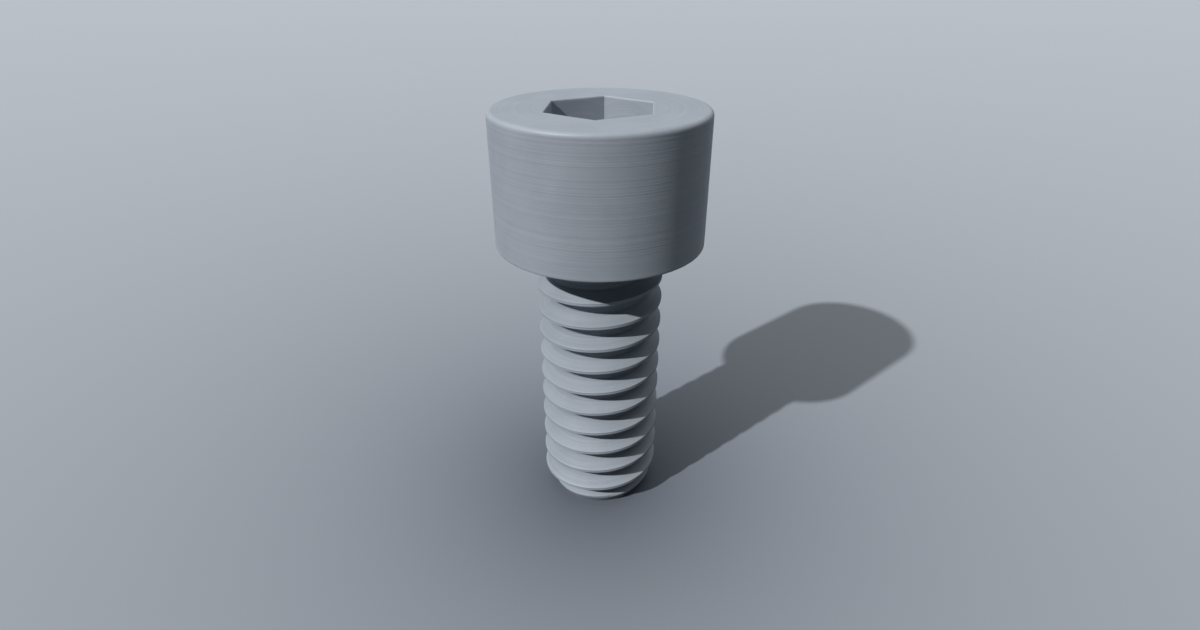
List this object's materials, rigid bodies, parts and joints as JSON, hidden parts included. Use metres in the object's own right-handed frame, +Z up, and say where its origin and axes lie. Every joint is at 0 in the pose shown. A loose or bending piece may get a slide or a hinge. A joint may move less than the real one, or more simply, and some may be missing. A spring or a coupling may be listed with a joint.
{
  "type": "socket head cap screw",
  "caption": "Short cap screw with a plain cylindrical head, a hexagonal key socket, a right-hand thread up to the head and a chamfered end",
  "frame": {"origin": "Middle of the flat end face, on the surface that the screw stands on", "axes": "+Z runs up the screw's axis from its end to its head. The picture is taken from the -Y side. One corner of the hexagonal socket lies 25.6 degrees from +X towards +Y."},
  "size_m": [0.0052, 0.0052, 0.0107],
  "materials": {
    "steel": "satin blue-grey steel"
  },
  "bodies": {
    "root": {"cap_screw": "steel"}
  },
  "joints": []
}
